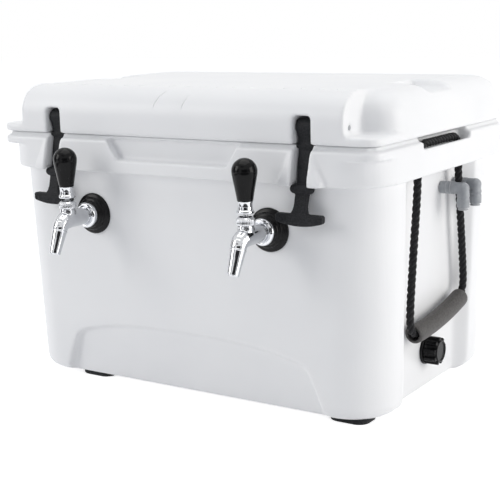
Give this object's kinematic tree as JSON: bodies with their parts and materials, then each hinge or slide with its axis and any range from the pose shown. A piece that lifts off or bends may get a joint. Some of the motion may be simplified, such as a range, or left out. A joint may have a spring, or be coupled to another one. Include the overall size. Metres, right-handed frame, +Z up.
{
  "type": "jockey box beer cooler",
  "caption": "Insulated white chest with a hinged lid, rubber T-latches, chrome taps with black handles, rope side handles, inlet elbows and a drain.",
  "frame": {"origin": "on the floor, under the middle of the chest's rim footprint, taps left out", "axes": "+X to the right of someone facing the taps, +Y to the hinges at the back, +Z up"},
  "size_m": [0.6142, 0.5115, 0.424],
  "materials": {
    "shell_white": "satin rotomoulded polyethylene",
    "insulation": "rigid foam",
    "rubber": "matte moulded rubber",
    "stainless": "drawn stainless steel",
    "rope_black": "braided cord",
    "grip_grey": "soft foam tube",
    "drain_black": "moulded nylon",
    "fitting_grey": "moulded acetal",
    "collet_grey": "moulded acetal",
    "chrome_plate": "polished",
    "knob_black": "glossy",
    "hose_clear": "smooth flexible tube"
  },
  "bodies": {
    "root": {"body_shell": "shell_white", "body_foam": "insulation", "foot_front_left": "rubber", "foot_front_right": "rubber", "foot_rear_left": "rubber", "foot_rear_right": "rubber", "foot_screws": "stainless", "rope_lead_left": "rope_black", "rope_lead_right": "rope_black", "drain_fitting": "drain_black", "drain_gasket": "rubber", "drain_nut": "drain_black", "inlet_stem_front": "fitting_grey", "inlet_stem_back": "fitting_grey", "inlet_nut_front": "fitting_grey", "inlet_nut_back": "fitting_grey", "shank_left": "chrome_plate", "shank_right": "chrome_plate", "shank_flange_left": "drain_black", "shank_flange_right": "drain_black", "shank_nut_left": "chrome_plate", "shank_nut_right": "chrome_plate", "coupling_nut_left": "chrome_plate", "coupling_nut_right": "chrome_plate", "tap_body_left": "chrome_plate", "tap_body_right": "chrome_plate", "tap_nozzle_left": "chrome_plate", "tap_nozzle_right": "chrome_plate", "tap_collar_left": "chrome_plate", "tap_collar_right": "chrome_plate", "coil_left": "stainless", "coil_right": "stainless", "tubing": "hose_clear", "hinge_pins": "stainless"},
    "lid": {"lid_shell": "shell_white", "lid_foam": "insulation", "lid_foam_plug": "rubber", "lid_gasket": "rubber", "latch_pins": "stainless"},
    "latch_left": {"latch_left": "rubber"},
    "lever_left": {"tap_lever_left": "stainless", "lever_ferrule_left": "chrome_plate", "tap_knob_left": "knob_black"},
    "shaft_left": {"tap_shaft_left": "stainless", "seat_washer_left": "rubber"},
    "handle_left": {"rope_left": "rope_black", "grip_left": "grip_grey"},
    "latch_right": {"latch_right": "rubber"},
    "lever_right": {"tap_lever_right": "stainless", "lever_ferrule_right": "chrome_plate", "tap_knob_right": "knob_black"},
    "shaft_right": {"tap_shaft_right": "stainless", "seat_washer_right": "rubber"},
    "handle_right": {"rope_right": "rope_black", "grip_right": "grip_grey"},
    "elbow_front": {"inlet_elbow_front": "fitting_grey"},
    "collet_front": {"collet_front": "collet_grey"},
    "elbow_back": {"inlet_elbow_back": "fitting_grey"},
    "collet_back": {"collet_back": "collet_grey"},
    "drain_cap": {"drain_cap": "drain_black"}
  },
  "joints": [
    {"name": "lid_hinge", "type": "hinge", "parent": "root", "child": "lid", "pos_m": [0, 0.217, 0.357], "axis": [-1, 0, 0], "range_deg": [0, 100]},
    {"name": "latch_left_turn", "type": "hinge", "parent": "lid", "child": "latch_left", "pos_m": [-0.2, -0.189, 0.381], "axis": [-1, 0, 0], "range_deg": [0, 130], "deforming": ["latch_left"]},
    {"name": "tap_left_lever", "type": "hinge", "parent": "root", "child": "lever_left", "pos_m": [-0.144, -0.24693, 0.265], "axis": [1, 0, 0], "range_deg": [0, 26]},
    {"name": "tap_left_shaft", "type": "slide", "parent": "root", "child": "shaft_left", "axis": [0, 1, 0], "range_m": [0, 0.0059]},
    {"name": "handle_left_swing", "type": "hinge", "parent": "root", "child": "handle_left", "pos_m": [-0.288, 0, 0.302], "axis": [0, 1, 0], "range_deg": [0, 88]},
    {"name": "latch_right_turn", "type": "hinge", "parent": "lid", "child": "latch_right", "pos_m": [0.2, -0.189, 0.381], "axis": [-1, 0, 0], "range_deg": [0, 130], "deforming": ["latch_right"]},
    {"name": "tap_right_lever", "type": "hinge", "parent": "root", "child": "lever_right", "pos_m": [0.144, -0.24693, 0.265], "axis": [1, 0, 0], "range_deg": [0, 26]},
    {"name": "tap_right_shaft", "type": "slide", "parent": "root", "child": "shaft_right", "axis": [0, 1, 0], "range_m": [0, 0.0059]},
    {"name": "handle_right_swing", "type": "hinge", "parent": "root", "child": "handle_right", "pos_m": [0.288, 0, 0.302], "axis": [0, -1, 0], "range_deg": [0, 88]},
    {"name": "elbow_front_swivel", "type": "hinge", "parent": "root", "child": "elbow_front", "pos_m": [0.27067, 0.046, 0.278], "axis": [1, 0, 0], "range_deg": [-90, 0]},
    {"name": "collet_front_press", "type": "slide", "parent": "elbow_front", "child": "collet_front", "axis": [0, 0, 1], "range_m": [0, 0.0015]},
    {"name": "elbow_back_swivel", "type": "hinge", "parent": "root", "child": "elbow_back", "pos_m": [0.27067, 0.088, 0.278], "axis": [1, 0, 0], "range_deg": [0, 45]},
    {"name": "collet_back_press", "type": "slide", "parent": "elbow_back", "child": "collet_back", "axis": [0, 0, 1], "range_m": [0, 0.0015]},
    {"name": "drain_cap_turn", "type": "hinge", "parent": "root", "child": "drain_cap", "pos_m": [0.26839, 0, 0.06], "axis": [1, 0, 0], "range_deg": [0, 360]}
  ],
  "couplings": [
    {"joint": "tap_left_shaft", "follows": "tap_left_lever", "m_per_rad": 0.0128},
    {"joint": "tap_right_shaft", "follows": "tap_right_lever", "m_per_rad": 0.0128}
  ]
}
